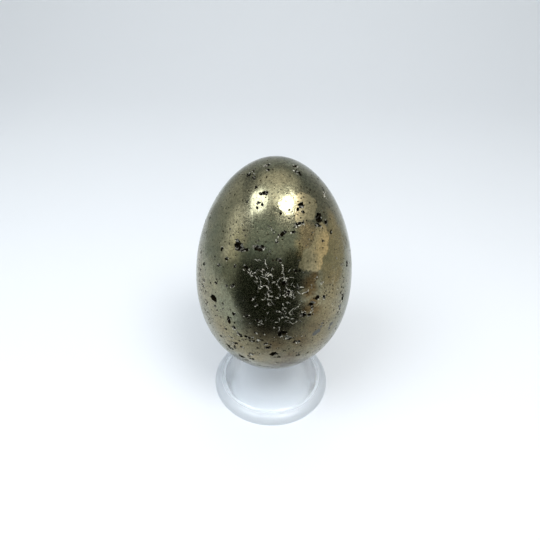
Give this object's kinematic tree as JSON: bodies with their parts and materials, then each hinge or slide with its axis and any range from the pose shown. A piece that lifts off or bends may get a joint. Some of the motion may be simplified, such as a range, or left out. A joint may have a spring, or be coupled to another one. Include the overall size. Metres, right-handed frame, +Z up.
{
  "type": "decorative egg on stand",
  "caption": "Polished natural pyrite egg with open pits, resting loose and upright in a clear, trumpet-shaped ring stand with a wide foot.",
  "frame": {"origin": "centre of the stand's foot, on the surface that it stands on", "axes": "+Z up along the egg's axis, from its blunt end to its tip; the front seen in the picture faces -Y, with +X to its right"},
  "size_m": [0.048, 0.048, 0.0878],
  "materials": {
    "polished_pyrite": "polished",
    "clear_plastic": "gloss"
  },
  "bodies": {
    "stand": {"ring_stand": "clear_plastic"},
    "egg": {"pyrite_egg": "polished_pyrite"}
  },
  "joints": [
    {"name": "egg_lift", "type": "slide", "parent": "stand", "child": "egg", "axis": [0, 0, 1], "range_m": [0, 0.05]}
  ]
}
